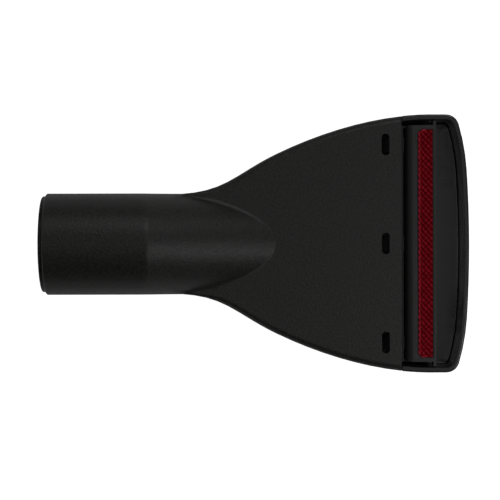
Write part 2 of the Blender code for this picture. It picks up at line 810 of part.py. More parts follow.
def build_carrier(parts, cutters, material):
    """Carrier of the lint strip: a hollow bar with a round rear shoulder and snap hooks."""
    rear = carrier_rear_x()
    half = carrier_half_length()
    foot = PLATE_HEIGHT - CARRIER_DEPTH
    profile = [(place_x(rear), foot), (place_x(CARRIER_FRONT_X), foot)]
    profile += [(place_x(CARRIER_FRONT_X), PLATE_HEIGHT)]
    for angle in steps(math.pi / 2, math.pi, SHOULDER_PROFILE_STEPS):
        profile.append((
            place_x(rear) + CARRIER_SHOULDER_RADIUS * (1 + math.cos(angle)),
            PLATE_HEIGHT - CARRIER_SHOULDER_RADIUS * (1 - math.sin(angle)),
        ))
    carrier = prism("strip_carrier", profile, -half, half, parts, upright=False)
    plan = rounded_outline(
        (place_x(rear), -half),
        (place_x(CARRIER_FRONT_X) + OVERCUT, half),
        (CARRIER_CORNER_RADIUS, 0.0, 0.0, CARRIER_CORNER_RADIUS),
    )
    combine(carrier, prism("carrier_plan", plan, foot - OVERCUT, PLATE_HEIGHT + OVERCUT, cutters), "INTERSECT")

    cell_low = -half + CARRIER_WALL
    cell_step = (2 * half - CARRIER_WALL) / (CARRIER_RIB_COUNT + 1)
    for k in range(CARRIER_RIB_COUNT + 1):
        cell = box(
            f"carrier_cell_{k}",
            (place_x(rear + CARRIER_WALL), cell_low + k * cell_step, foot - OVERCUT),
            (place_x(CARRIER_FRONT_X - CARRIER_WALL), cell_low + (k + 1) * cell_step - CARRIER_WALL,
             PLATE_HEIGHT - STRIP_SEAT_DEPTH - CARRIER_TOP_WALL),
            cutters,
        )
        combine(carrier, cell, "DIFFERENCE")

    lug_reach = MOUTH_HALF_WIDTH - SIDE_RIM_WALL - LUG_END_GAP
    lug = box(
        "carrier_lugs",
        (place_x(CARRIER_FRONT_X - FLANGE_THICKNESS), -lug_reach, PLATE_HEIGHT - RIM_DROP - LUG_DEPTH),
        (place_x(CARRIER_FRONT_X - FACE_STEP), lug_reach, PLATE_HEIGHT - RIM_DROP),
        cutters,
    )
    combine(carrier, lug, "UNION")

    hook_half = WINDOW_LENGTH / 2 - WINDOW_CORNER
    for row, y in enumerate(window_places()):
        hook = prism(f"hook_{row}", hook_profile(), y - hook_half, y + hook_half, cutters, upright=False)
        combine(carrier, hook, "UNION")

    seat = prism(
        "strip_seat",
        strip_outline(FIT_GAP),
        PLATE_HEIGHT - STRIP_SEAT_DEPTH,
        PLATE_HEIGHT + OVERCUT,
        cutters,
    )
    combine(carrier, seat, "DIFFERENCE")
    finish(carrier, material)
    return carrier


def build_strip(parts, material):
    """Lint strip: a band of short pile on a backing, seated in the carrier."""
    low = PLATE_HEIGHT - STRIP_SEAT_DEPTH + FIT_GAP
    strip = prism("lint_strip", strip_outline(0.0), low, low + STRIP_THICKNESS, parts)
    soften = strip.modifiers.new("pile_edge", "BEVEL")
    soften.width = STRIP_EDGE
    soften.segments = 2
    soften.limit_method = "ANGLE"
    soften.angle_limit = math.radians(60.0)
    finish(strip, material)
    return strip


def main():
    """Build the nozzle."""
    clear_scene()
    parts = make_collection("upholstery_nozzle")
    cutters = make_collection("cutters")
    build_body(parts, cutters, make_material("body_plastic", BODY_FINISH))
    build_back_shell(parts, make_material("shell_plastic", SHELL_FINISH))
    build_carrier(parts, cutters, make_material("carrier_plastic", CARRIER_FINISH))
    build_strip(parts, make_material("strip_pile", STRIP_FINISH))


main()
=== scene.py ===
"""Looks of the vacuum upholstery nozzle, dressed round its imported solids.

The nozzle lies on its back on a pale floor with its mouth up, seen from straight above. Each
sub-assembly is a class that builds its visible meshes from the frame's solids or from mesh
operators and gives them their finish. Lengths are metres, in the frame of the solids.
"""

import logging
import math
import random
from dataclasses import dataclass, field
from enum import Enum

import bmesh
import bpy
from mathutils import Matrix, Vector
from mathutils.bvhtree import BVHTree


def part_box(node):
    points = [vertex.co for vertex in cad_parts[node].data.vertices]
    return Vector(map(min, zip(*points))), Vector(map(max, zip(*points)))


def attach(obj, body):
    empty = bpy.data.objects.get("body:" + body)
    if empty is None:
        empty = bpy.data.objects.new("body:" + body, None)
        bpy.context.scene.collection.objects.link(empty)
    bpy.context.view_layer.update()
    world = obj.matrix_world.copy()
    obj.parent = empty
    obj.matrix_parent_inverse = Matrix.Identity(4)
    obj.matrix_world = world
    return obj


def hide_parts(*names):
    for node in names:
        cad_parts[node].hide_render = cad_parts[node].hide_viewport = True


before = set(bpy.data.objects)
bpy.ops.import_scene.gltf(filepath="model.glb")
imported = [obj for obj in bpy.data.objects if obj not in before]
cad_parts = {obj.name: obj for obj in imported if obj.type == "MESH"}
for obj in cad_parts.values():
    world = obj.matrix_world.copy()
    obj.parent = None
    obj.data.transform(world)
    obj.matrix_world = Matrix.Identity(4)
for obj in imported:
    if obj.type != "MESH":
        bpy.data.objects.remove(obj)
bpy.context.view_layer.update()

log = logging.getLogger("upholstery_nozzle")

MM = 0.001
Colour = tuple[float, float, float]
Point = tuple[float, float, float]
Span = tuple[float, float]


class Surface(Enum):
    """Which surface of a moulding a face belongs to, and its place among the material slots."""

    OUTSIDE = 0
    SMOOTH = 1


@dataclass(frozen=True)
class PlasticFinish:
    """Finish of a moulded black plastic surface."""

    name: str
    slot: str
    colour: Colour
    fleck_gain: float
    roughness: float
    roughness_spread: float
    specular: float
    grain_size: float
    grain_depth: float
    smudge: float
    waviness: float


@dataclass(frozen=True)
class PileFinish:
    """Finish of a red pile, its backing or its selvedge, darkening by height from the tip colour down to
    a root colour that is painted shade deep in the pile.
    """

    name: str
    slot: str
    tip_colour: Colour
    # Painted shade: colour deep in the pile at the low level, where shade falls between the tufts.
    shaded_root_colour: Colour
    roughness: float
    specular: float
    sheen: float
    sheen_colour: Colour
    low: float
    high: float


GRAINED = PlasticFinish(
    name="grained_body_plastic",
    slot="body_plastic",
    colour=(0.0080, 0.0080, 0.0072),
    fleck_gain=2.0,
    roughness=0.47,
    roughness_spread=0.06,
    specular=0.45,
    grain_size=0.75 * MM,
    grain_depth=0.075 * MM,
    smudge=0.15,
    waviness=0.0,
)
SMOOTH_BODY = PlasticFinish(
    name="smooth_body_plastic",
    slot="body_plastic",
    colour=(0.0130, 0.0130, 0.0125),
    fleck_gain=1.2,
    roughness=0.36,
    roughness_spread=0.08,
    specular=0.18,
    grain_size=0.20 * MM,
    grain_depth=0.002 * MM,
    smudge=0.2,
    waviness=0.006 * MM,
)
SHELL = PlasticFinish(
    name="smooth_shell_plastic",
    slot="shell_plastic",
    colour=(0.0110, 0.0110, 0.0105),
    fleck_gain=1.3,
    roughness=0.20,
    roughness_spread=0.06,
    specular=0.60,
    grain_size=0.40 * MM,
    grain_depth=0.004 * MM,
    smudge=0.9,
    waviness=0.010 * MM,
)
CARRIER = PlasticFinish(
    name="satin_carrier_plastic",
    slot="carrier_plastic",
    colour=(0.0145, 0.0145, 0.0140),
    fleck_gain=1.2,
    roughness=0.42,
    roughness_spread=0.08,
    specular=0.5,
    grain_size=0.20 * MM,
    grain_depth=0.003 * MM,
    smudge=0.25,
    waviness=0.006 * MM,
)
PILE = PileFinish(
    name="red_pile",
    slot="strip_pile",
    tip_colour=(0.86, 0.036, 0.074),
    shaded_root_colour=(0.23, 0.001, 0.006),
    roughness=0.8,
    specular=0.12,
    sheen=0.15,
    sheen_colour=(0.9, 0.22, 0.30),
    low=20.9 * MM,
    high=21.5 * MM,
)
SELVEDGE = PileFinish(
    name="red_selvedge",
    slot="strip_pile",
    tip_colour=(0.42, 0.016, 0.036),
    shaded_root_colour=(0.20, 0.003, 0.010),
    roughness=0.7,
    specular=0.18,
    sheen=0.15,
    sheen_colour=(0.9, 0.35, 0.40),
    low=20.5 * MM,
    high=21.3 * MM,
)
# Painted shade: the backing is coloured much darker than the yarn, as the shade in the gaps between the
# tufts.
SHADED_BACKING = PileFinish(
    name="shaded_red_backing",
    slot="strip_pile",
    tip_colour=(0.16, 0.0006, 0.004),
    shaded_root_colour=(0.10, 0.0005, 0.003),
    roughness=0.9,
    specular=0.0,
    sheen=0.0,
    sheen_colour=(1.0, 1.0, 1.0),
    low=20.2 * MM,
    high=21.0 * MM,
)


class NodeBuilder:
    """Places and joins shader nodes in one tree."""

    def __init__(self, tree: bpy.types.NodeTree) -> None:
        """Work on a shader tree."""
        self.tree = tree

    def node(self, kind: str, **settings: object) -> bpy.types.Node:
        """Add a node.

        Args:
            kind: The node's Blender type.
            settings: Properties by name, and default values by the socket's name with spaces
                as underscores.

        Returns:
            The new node.
        """
        made = self.tree.nodes.new(kind)
        for key, value in settings.items():
            if hasattr(made, key):
                setattr(made, key, value)
            else:
                made.inputs[key.replace("_", " ")].default_value = value
        return made

    def link(self, source: bpy.types.NodeSocket, target: bpy.types.NodeSocket) -> None:
        """Join an output to an input."""
        self.tree.links.new(source, target)

    def math(self, operation: str, first: object, second: object = 0.0) -> bpy.types.NodeSocket:
        """Add a Math node on two sockets or numbers.

        Args:
            operation: Name of the operation.
            first: Socket or number.
            second: Socket or number.

        Returns:
            The node's output.
        """
        made = self.tree.nodes.new("ShaderNodeMath")
        made.operation = operation
        for place, value in enumerate((first, second)):
            if isinstance(value, bpy.types.NodeSocket):
                self.link(value, made.inputs[place])
            else:
                made.inputs[place].default_value = value
        return made.outputs[0]


class SharedEffects:
    """Node groups that more than one finish uses, each built once."""

    hills_per_grain = 0.8
    pit_share = 0.6
    pit_softness = 0.7
    fleck_range = (0.40, 0.62)
    smears_per_metre = 95.0
    smear_range = (0.48, 0.72)
    waves_per_metre = 55.0
    yarn_patches_per_metre = 700.0
    yarn_variation = 0.9

    def __init__(self) -> None:
        """Build the groups."""
        self.grain = self._make_grain()
        self.handling = self._make_handling()
        self.depth_shade = self._make_depth_shade()

    @staticmethod
    def _new_group(name: str, inputs: dict[str, str], outputs: dict[str, str]) -> bpy.types.NodeTree:
        """Make an empty group.

        Args:
            name: The group's name.
            inputs: Socket types by name.
            outputs: Socket types by name.

        Returns:
            The group with its input and output nodes in place.
        """
        group = bpy.data.node_groups.new(name, "ShaderNodeTree")
        for label, kind in inputs.items():
            group.interface.new_socket(name=label, in_out="INPUT", socket_type=kind)
        for label, kind in outputs.items():
            group.interface.new_socket(name=label, in_out="OUTPUT", socket_type=kind)
        group.nodes.new("NodeGroupInput")
        group.nodes.new("NodeGroupOutput")
        return group

    def _make_grain(self) -> bpy.types.NodeTree:
        """Fine eroded grain of a mould: rounded pits and hills.

        Returns:
            Group from a position and the grains per metre to a height and a fleck mask.
        """
        group = self._new_group(
            "mould_grain",
            {"Position": "NodeSocketVector", "Grains": "NodeSocketFloat"},
            {"Height": "NodeSocketFloat", "Fleck": "NodeSocketFloat"},
        )
        build = NodeBuilder(group)
        source = group.nodes["Group Input"]
        target = group.nodes["Group Output"]
        pits = build.node("ShaderNodeTexVoronoi", feature="SMOOTH_F1", Smoothness=self.pit_softness)
        hills = build.node("ShaderNodeTexNoise", Detail=2.0, Roughness=0.5)
        for texture in (pits, hills):
            build.link(source.outputs["Position"], texture.inputs["Vector"])
        build.link(source.outputs["Grains"], pits.inputs["Scale"])
        hill_scale = build.math("MULTIPLY", source.outputs["Grains"], self.hills_per_grain)
        build.link(hill_scale, hills.inputs["Scale"])
        pit_height = build.math("MULTIPLY", pits.outputs["Distance"], self.pit_share)
        build.link(build.math("ADD", pit_height, hills.outputs["Fac"]), target.inputs["Height"])
        low, high = self.fleck_range
        fleck = build.node("ShaderNodeMapRange", From_Min=low, From_Max=high)
        build.link(hills.outputs["Fac"], fleck.inputs["Value"])
        build.link(fleck.outputs["Result"], target.inputs["Fleck"])
        return group

    def _make_handling(self) -> bpy.types.NodeTree:
        """Smudges of handling and soft waves of the moulded surface.

        Returns:
            Group from a position to a smudge mask and a wave height.
        """
        group = self._new_group(
            "handling_and_waves",
            {"Position": "NodeSocketVector"},
            {"Smudge": "NodeSocketFloat", "Wave": "NodeSocketFloat"},
        )
        build = NodeBuilder(group)
        source = group.nodes["Group Input"]
        target = group.nodes["Group Output"]
        smears = build.node(
            "ShaderNodeTexNoise",
            Scale=self.smears_per_metre,
            Detail=4.0,
            Roughness=0.55,
            Distortion=0.6,
        )
        waves = build.node("ShaderNodeTexNoise", Scale=self.waves_per_metre, Detail=1.0, Roughness=0.4)
        for texture in (smears, waves):
            build.link(source.outputs["Position"], texture.inputs["Vector"])
        low, high = self.smear_range
        mask = build.node("ShaderNodeMapRange", From_Min=low, From_Max=high)
        build.link(smears.outputs["Fac"], mask.inputs["Value"])
        build.link(mask.outputs["Result"], target.inputs["Smudge"])
        build.link(waves.outputs["Fac"], target.inputs["Wave"])
        return group

    def _make_depth_shade(self) -> bpy.types.NodeTree:
        """Painted shade of a pile: share from the shaded root to the tip by height, with a little
        variation between tufts.

        Returns:
            Group from a position and two heights to a tip share.
        """
        group = self._new_group(
            "painted_pile_shade",
            {"Position": "NodeSocketVector", "Low": "NodeSocketFloat", "High": "NodeSocketFloat"},
            {"Tip": "NodeSocketFloat"},
        )
        build = NodeBuilder(group)
        source = group.nodes["Group Input"]
        target = group.nodes["Group Output"]
        split = build.node("ShaderNodeSeparateXYZ")
        build.link(source.outputs["Position"], split.inputs[0])
        share = build.node("ShaderNodeMapRange")
        build.link(split.outputs["Z"], share.inputs["Value"])
        build.link(source.outputs["Low"], share.inputs["From Min"])
        build.link(source.outputs["High"], share.inputs["From Max"])
        patches = build.node("ShaderNodeTexNoise", Scale=self.yarn_patches_per_metre, Detail=2.0)
        build.link(source.outputs["Position"], patches.inputs["Vector"])
        centred = build.math("SUBTRACT", patches.outputs["Fac"], 0.5)
        uneven = build.math("MULTIPLY", centred, self.yarn_variation)
        tip = build.node("ShaderNodeClamp")
        build.link(build.math("ADD", share.outputs["Result"], uneven), tip.inputs["Value"])
        build.link(tip.outputs["Result"], target.inputs["Tip"])
        return group


class FinishShop:
    """Makes each finish's material once."""

    smear_roughness = 0.12
    sheen_roughness = 0.4
    twists_per_metre = 5200.0
    twist_strength = 0.6
    twist_depth = 0.03 * MM

    def __init__(self) -> None:
        """Prepare the shared effects."""
        self.effects = SharedEffects()
        self.made: dict[str, bpy.types.Material] = {}

    def plastic(self, finish: PlasticFinish) -> bpy.types.Material:
        """Material of a moulded plastic.

        Args:
            finish: The plastic's numbers.

        Returns:
            The material, made on first use.
        """
        if finish.name in self.made:
            return self.made[finish.name]
        material, build, shader = self._start(finish.name)
        shader.inputs["Specular IOR Level"].default_value = finish.specular
        place = build.node("ShaderNodeTexCoord").outputs["Object"]

        grain = build.node("ShaderNodeGroup", node_tree=self.effects.grain)
        grain.inputs["Grains"].default_value = 1.0 / finish.grain_size
        build.link(place, grain.inputs["Position"])
        handling = build.node("ShaderNodeGroup", node_tree=self.effects.handling)
        build.link(place, handling.inputs["Position"])

        colour = build.node("ShaderNodeMix", data_type="RGBA")
        colour.inputs["A"].default_value = (*finish.colour, 1.0)
        colour.inputs["B"].default_value = (*(finish.fleck_gain * c for c in finish.colour), 1.0)
        build.link(grain.outputs["Fleck"], colour.inputs["Factor"])
        build.link(colour.outputs["Result"], shader.inputs["Base Color"])

        centred = build.math("SUBTRACT", grain.outputs["Fleck"], 0.5)
        spread = build.math("MULTIPLY", centred, finish.roughness_spread)
        smears = build.math("MULTIPLY", handling.outputs["Smudge"], self.smear_roughness * finish.smudge)
        rough = build.math("ADD", build.math("ADD", spread, smears), finish.roughness)
        build.link(rough, shader.inputs["Roughness"])

        grain_bump = build.node("ShaderNodeBump", Strength=1.0, Distance=finish.grain_depth)
        build.link(grain.outputs["Height"], grain_bump.inputs["Height"])
        build.link(grain_bump.outputs["Normal"], shader.inputs["Normal"])
        if finish.waviness > 0:
            wave_bump = build.node("ShaderNodeBump", Strength=1.0, Distance=finish.waviness)
            build.link(handling.outputs["Wave"], wave_bump.inputs["Height"])
            build.link(wave_bump.outputs["Normal"], grain_bump.inputs["Normal"])
        self.made[finish.name] = material
        return material

    def pile(self, finish: PileFinish) -> bpy.types.Material:
        """Material of the lint strip's yarn.

        Args:
            finish: The yarn's numbers.

        Returns:
            The material, made on first use.
        """
        if finish.name in self.made:
            return self.made[finish.name]
        material, build, shader = self._start(finish.name)
        shader.inputs["Roughness"].default_value = finish.roughness
        shader.inputs["Specular IOR Level"].default_value = finish.specular
        shader.inputs["Sheen Weight"].default_value = finish.sheen
        shader.inputs["Sheen Roughness"].default_value = self.sheen_roughness
        shader.inputs["Sheen Tint"].default_value = (*finish.sheen_colour, 1.0)
        place = build.node("ShaderNodeTexCoord").outputs["Object"]
        depth = build.node("ShaderNodeGroup", node_tree=self.effects.depth_shade)
        depth.inputs["Low"].default_value = finish.low
        depth.inputs["High"].default_value = finish.high
        build.link(place, depth.inputs["Position"])
        # Painted shade: the colour darkens by height from the tip colour down to the shaded root colour.
        colour = build.node("ShaderNodeMix", data_type="RGBA")
        colour.inputs["A"].default_value = (*finish.shaded_root_colour, 1.0)
        colour.inputs["B"].default_value = (*finish.tip_colour, 1.0)
        build.link(depth.outputs["Tip"], colour.inputs["Factor"])
        build.link(colour.outputs["Result"], shader.inputs["Base Color"])
        twist = build.node("ShaderNodeTexNoise", Scale=self.twists_per_metre, Detail=1.0)
        build.link(place, twist.inputs["Vector"])
        bump = build.node("ShaderNodeBump", Strength=self.twist_strength, Distance=self.twist_depth)
        build.link(twist.outputs["Fac"], bump.inputs["Height"])
        build.link(bump.outputs["Normal"], shader.inputs["Normal"])
        self.made[finish.name] = material
        return material

    def _start(self, name: str) -> tuple[bpy.types.Material, NodeBuilder, bpy.types.Node]:
        """Make a material that still has its plain shader.

        Args:
            name: The material's name.

        Returns:
            The material, a builder on its tree and its shader node.
        """
        material = bpy.data.materials.new(name)
        material.use_nodes = True
        build = NodeBuilder(material.node_tree)
        return material, build, material.node_tree.nodes["Principled BSDF"]


def new_piece(
    name: str,
    work: bmesh.types.BMesh,
    materials: list[bpy.types.Material],
) -> bpy.types.Object:
    """Turn a finished bmesh into a piece that rides on the nozzle.

    Args:
        name: The piece's name.
        work: The mesh in the frame's place. It is freed.
        materials: The piece's materials, in the order of its faces' indices.

    Returns:
        The piece.
    """
    mesh = bpy.data.meshes.new(name)
    work.to_mesh(mesh)
    work.free()
    for material in materials:
        mesh.materials.append(material)
    piece = bpy.data.objects.new(name, mesh)
    bpy.context.scene.collection.objects.link(piece)
    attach(piece, "root")
    return piece


@dataclass
class Moulding:
    """A moulded piece that keeps its solid's form, with its sharp edges rounded."""

    node: str
    outside: PlasticFinish
    smooth: PlasticFinish
    edge_radius: float = 0.12 * MM
    edge_segments: int = 2
    edge_angle: float = math.radians(38.0)
    smooth_angle: float = math.radians(30.0)
    merge: float = 0.001 * MM
    flat_angle: float = math.radians(0.2)

    def build(self, shop: FinishShop, casing: BVHTree) -> bpy.types.Object:
        """Build the piece in the place of its solid.

        Args:
            shop: Where its materials come from.
            casing: The surfaces of the closed mouldings, to tell the inside from the outside.

        Returns:
            The dressed piece.
        """
        work = bmesh.new()
        work.from_mesh(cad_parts[self.node].data)
        bmesh.ops.remove_doubles(work, verts=work.verts, dist=self.merge)
        bmesh.ops.dissolve_limit(work, angle_limit=self.flat_angle, verts=work.verts, edges=work.edges)
        for face in work.faces:
            face.material_index = self.surface_of(face, casing).value
        self.round_edges(work)
        bmesh.ops.recalc_face_normals(work, faces=work.faces)
        materials = [shop.plastic(self.outside), shop.plastic(self.smooth)]
        piece = new_piece(self.node + "_moulding", work, materials)
        piece.data.shade_smooth()
        piece.data.set_sharp_from_angle(angle=self.smooth_angle)
        even = piece.modifiers.new("even_shading", "WEIGHTED_NORMAL")
        even.keep_sharp = True
        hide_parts(self.node)
        return piece

    def surface_of(self, face: bmesh.types.BMFace, casing: BVHTree) -> Surface:
        """Say which surface a face belongs to.

        Args:
            face: The face; not used here.
            casing: The surfaces that shut in the air way; not used here.

        Returns:
            The surface, OUTSIDE for every face of a plain moulding.
        """
        return Surface.OUTSIDE

    def round_edges(self, work: bmesh.types.BMesh) -> None:
        """Give the sharp edges a small radius.

        Args:
            work: The merged mesh, which is changed.
        """
        sharp = [
            edge
            for edge in work.edges
            if len(edge.link_faces) == 2 and edge.calc_face_angle(0.0) > self.edge_angle
        ]
        bmesh.ops.bevel(
            work,
            geom=sharp,
            offset=self.edge_radius,
            offset_type="OFFSET",
            affect="EDGES",
            segments=self.edge_segments,
            profile=0.5,
            material=-1,
            clamp_overlap=True,
        )


@dataclass
class NozzleBody(Moulding):
    """Socket, bent neck and sole plate: grained outside, smooth lip, ledge and inside."""

    node: str = "nozzle_body"
    outside: PlasticFinish = GRAINED
    smooth: PlasticFinish = SMOOTH_BODY
    lip_length: float = 1.6 * MM
    ledge_length: float = 0.9 * MM
    reach: float = 60 * MM
    lift: float = 0.05 * MM

    def __post_init__(self) -> None:
        """Find where the lip ends and the ledge starts."""
        low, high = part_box(self.node)
        self.lip_end = low.x + self.lip_length
        self.ledge_start = high.x - self.ledge_length

    def surface_of(self, face: bmesh.types.BMFace, casing: BVHTree) -> Surface:
        """Say whether a face is grained or smooth.

        Args:
            face: The face.
            casing: The surfaces that shut in the air way.

        Returns:
            SMOOTH for the lip, the plate's ledge and whatever faces another wall.
        """
        middle = face.calc_center_median()
        if middle.x < self.lip_end or middle.x > self.ledge_start:
            return Surface.SMOOTH
        start = middle + face.normal * self.lift
        hit = casing.ray_cast(start, face.normal, self.reach)
        return Surface.SMOOTH if hit[0] is not None else Surface.OUTSIDE


@dataclass
class LintStrip:
    """Band of short red pile in slanting tufts on a backing, with a selvedge along the rear."""

    node: str = "lint_strip"
    backing_share: float = 0.45
    rear_corner: float = 2.0 * MM
    corner_segments: int = 6
    column_pitch: float = 1.05 * MM
    row_pitch: float = 2.30 * MM
    tuft_length: float = 1.50 * MM
    tuft_width: float = 1.06 * MM
    tuft_turn: float = math.radians(-58.0)
    turn_variation: float = 0.1
    tuft_fibres: int = 56
    tuft_crown: float = 0.38
    tuft_spread: float = 0.12
    fibre_sides: int = 4
    fibre_radius: float = 0.10 * MM
    fibre_height: float = 0.85 * MM
    height_variation: float = 0.12
    spot_variation: float = 0.3
    root_depth: float = 0.1 * MM
    tip_share: float = 0.35
    fibre_lean: Vector = field(default_factory=lambda: Vector((0.25, -0.32, 1.0)))
    edge_margin: float = 0.15 * MM
    lump_size: Vector = field(default_factory=lambda: Vector((0.85, 2.05, 0.80)) * MM)
    lump_turn: float = math.radians(14.0)
    lump_inset: float = 0.30 * MM
    lump_level: float = 0.62
    unevenness: float = 0.08
    seed: int = 7

    def build(self, shop: FinishShop) -> list[bpy.types.Object]:
        """Build the strip.

        Args:
            shop: Where its materials come from.

        Returns:
            The backing, the pile and the selvedge.
        """
        low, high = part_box(self.node)
        backing = self._make_backing(shop, low, high)
        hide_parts(self.node)
        return [backing, self._make_pile(shop, low, high), self._make_selvedge(shop, low, high)]

    def _make_backing(self, shop: FinishShop, low: Vector, high: Vector) -> bpy.types.Object:
        """Woven band under the pile, round at its rear corners, coloured dark as painted shade in the
        gaps between the tufts.

        Args:
            shop: Where its material comes from.
            low: Lowest corner of the strip's box.
            high: Highest corner of the strip's box.

        Returns:
            The backing.
        """
        work = bmesh.new()
        top = low.z + (high.z - low.z) * self.backing_share
        size = Vector((high.x - low.x, high.y - low.y, top - low.z))
        middle = Vector(((low.x + high.x) / 2, (low.y + high.y) / 2, (low.z + top) / 2))
        matrix = Matrix.Translation(middle) @ Matrix.Diagonal((*size, 1.0))
        bmesh.ops.create_cube(work, size=1.0, matrix=matrix)
        rear = [
            edge
            for edge in work.edges
            if all(vert.co.x < middle.x for vert in edge.verts)
            and abs(edge.verts[0].co.z - edge.verts[1].co.z) > size.z / 2
        ]
        bmesh.ops.bevel(
            work,
            geom=rear,
            offset=self.rear_corner,
            offset_type="OFFSET",
            affect="EDGES",
            segments=self.corner_segments,
            profile=0.5,
            material=-1,
        )
        bmesh.ops.recalc_face_normals(work, faces=work.faces)
        return new_piece("lint_strip_backing", work, [shop.pile(SHADED_BACKING)])

    def _in_band(self, x: float, y: float, low: Vector, high: Vector, margin: float) -> bool:
        """Whether a point is on the band, inside a margin and its round rear corners.

        Args:
            x: Place along the nozzle.
            y: Place across it.
            low: Lowest corner of the strip's box.
            high: Highest corner of the strip's box.
            margin: How far inside the edge a point has to be.

        Returns:
            True inside.
        """
        if not (low.x + margin < x < high.x - margin and low.y + margin < y < high.y - margin):
            return False
        corner_x = low.x + self.rear_corner
        corner_y = high.y - self.rear_corner
        if x > corner_x or abs(y) < corner_y:
            return True
        return math.hypot(x - corner_x, abs(y) - corner_y) < self.rear_corner - margin

    def _tuft_places(self, low: Vector, high: Vector) -> list[Vector]:
        """Middles of the tufts, in columns that are staggered by half a pitch.

        Args:
            low: Lowest corner of the strip's box.
            high: Highest corner of the strip's box.

        Returns:
            The middles, on the level of the origin.
        """
        columns = round((high.x - low.x) / self.column_pitch)
        rows = math.ceil((high.y - low.y) / self.row_pitch / 2)
        first_x = (low.x + high.x - (columns - 1) * self.column_pitch) / 2
        return [
            Vector((
                first_x + column * self.column_pitch,
                (row + 0.5 * (column % 2)) * self.row_pitch,
                0.0,
            ))
            for column in range(columns)
            for row in range(-rows, rows + 1)
        ]

    def _make_pile(self, shop: FinishShop, low: Vector, high: Vector) -> bpy.types.Object:
        """Tufts of leaning fibres that lie slanting across the band.

        Args:
            shop: Where its material comes from.
            low: Lowest corner of the strip's box.
            high: Highest corner of the strip's box.

        Returns:
            The pile.
        """
        chance = random.Random(self.seed)
        work = bmesh.new()
        batch = bpy.data.meshes.new("tuft")
        root_z = low.z + (high.z - low.z) * self.backing_share - self.root_depth
        golden_turn = math.pi * (3 - math.sqrt(5))
        for middle in self._tuft_places(low, high):
            fibres = bmesh.new()
            turn_share = chance.uniform(1 - self.turn_variation, 1 + self.turn_variation)
            slant = Matrix.Rotation(self.tuft_turn * turn_share, 3, "Z")
            for k in range(self.tuft_fibres):
                reach = math.sqrt((k + 0.5) / self.tuft_fibres)
                angle = k * golden_turn + chance.uniform(-self.spot_variation, self.spot_variation)
                outward = Vector((reach * math.cos(angle), reach * math.sin(angle), 0.0))
                spot = Vector((outward.x * self.tuft_length / 2, outward.y * self.tuft_width / 2, 0.0))
                root = middle + slant @ spot
                if self._in_band(root.x, root.y, low, high, self.edge_margin):
                    root.z = root_z
                    lean = self.fibre_lean + slant @ outward * self.tuft_spread
                    crown = 1 - self.tuft_crown * reach ** 2
                    height = self.fibre_height * crown * chance.uniform(1 - self.height_variation, 1.0)
                    self._add_fibre(fibres, root, lean, height)
            fibres.to_mesh(batch)
            fibres.free()
            work.from_mesh(batch)
        bpy.data.meshes.remove(batch)
        piece = new_piece("lint_strip_pile", work, [shop.pile(PILE)])
        piece.data.shade_smooth()
        return piece

    def _add_fibre(self, fibres: bmesh.types.BMesh, root: Vector, lean: Vector, height: float) -> None:
        """Add one leaning fibre.

        Args:
            fibres: The mesh that gets it.
            root: Where it stands.
            lean: The way that it points.
            height: Its length.
        """
        turn = Vector((0.0, 0.0, 1.0)).rotation_difference(lean).to_matrix().to_4x4()
        bmesh.ops.create_cone(
            fibres,
            cap_ends=True,
            segments=self.fibre_sides,
            radius1=self.fibre_radius,
            radius2=self.fibre_radius * self.tip_share,
            depth=height,
            matrix=Matrix.Translation(root) @ turn @ Matrix.Translation((0.0, 0.0, height / 2)),
        )

    def _make_selvedge(self, shop: FinishShop, low: Vector, high: Vector) -> bpy.types.Object:
        """Row of slanting yarn lumps along the rear edge and round its corners.

        Args:
            shop: Where its material comes from.
            low: Lowest corner of the strip's box.
            high: Highest corner of the strip's box.

        Returns:
            The selvedge.
        """
        chance = random.Random(self.seed)
        work = bmesh.new()
        straight = (high.y - low.y) / 2 - self.rear_corner
        bend = self.rear_corner - self.lump_inset
        count = int((2 * straight + math.pi * bend) / self.row_pitch)
        for k in range(count + 1):
            along = (k - count / 2) * self.row_pitch
            past = max(0.0, abs(along) - straight) / bend
            side = math.copysign(1.0, along)
            x = low.x + self.rear_corner - bend * math.cos(past)
            y = side * (min(abs(along), straight) + bend * math.sin(past))
            place = Vector((x, y, low.z + (high.z - low.z) * self.lump_level))
            size = self.lump_size * (0.5 * chance.uniform(1 - self.unevenness, 1 + self.unevenness))
            matrix = (
                Matrix.Translation(place)
                @ Matrix.Rotation(self.lump_turn - side * past, 4, "Z")
                @ Matrix.Diagonal((*size, 1.0))
            )
            bmesh.ops.create_icosphere(work, subdivisions=2, radius=1.0, matrix=matrix)
        piece = new_piece("lint_strip_selvedge", work, [shop.pile(SELVEDGE)])
        piece.data.shade_smooth()
        return piece


@dataclass(frozen=True)
class Softbox:
    """Soft rectangular light that points at the nozzle, with its power in watts."""

    name: str
    direction: Point
    distance: float
    width: float
    height: float
    power: float


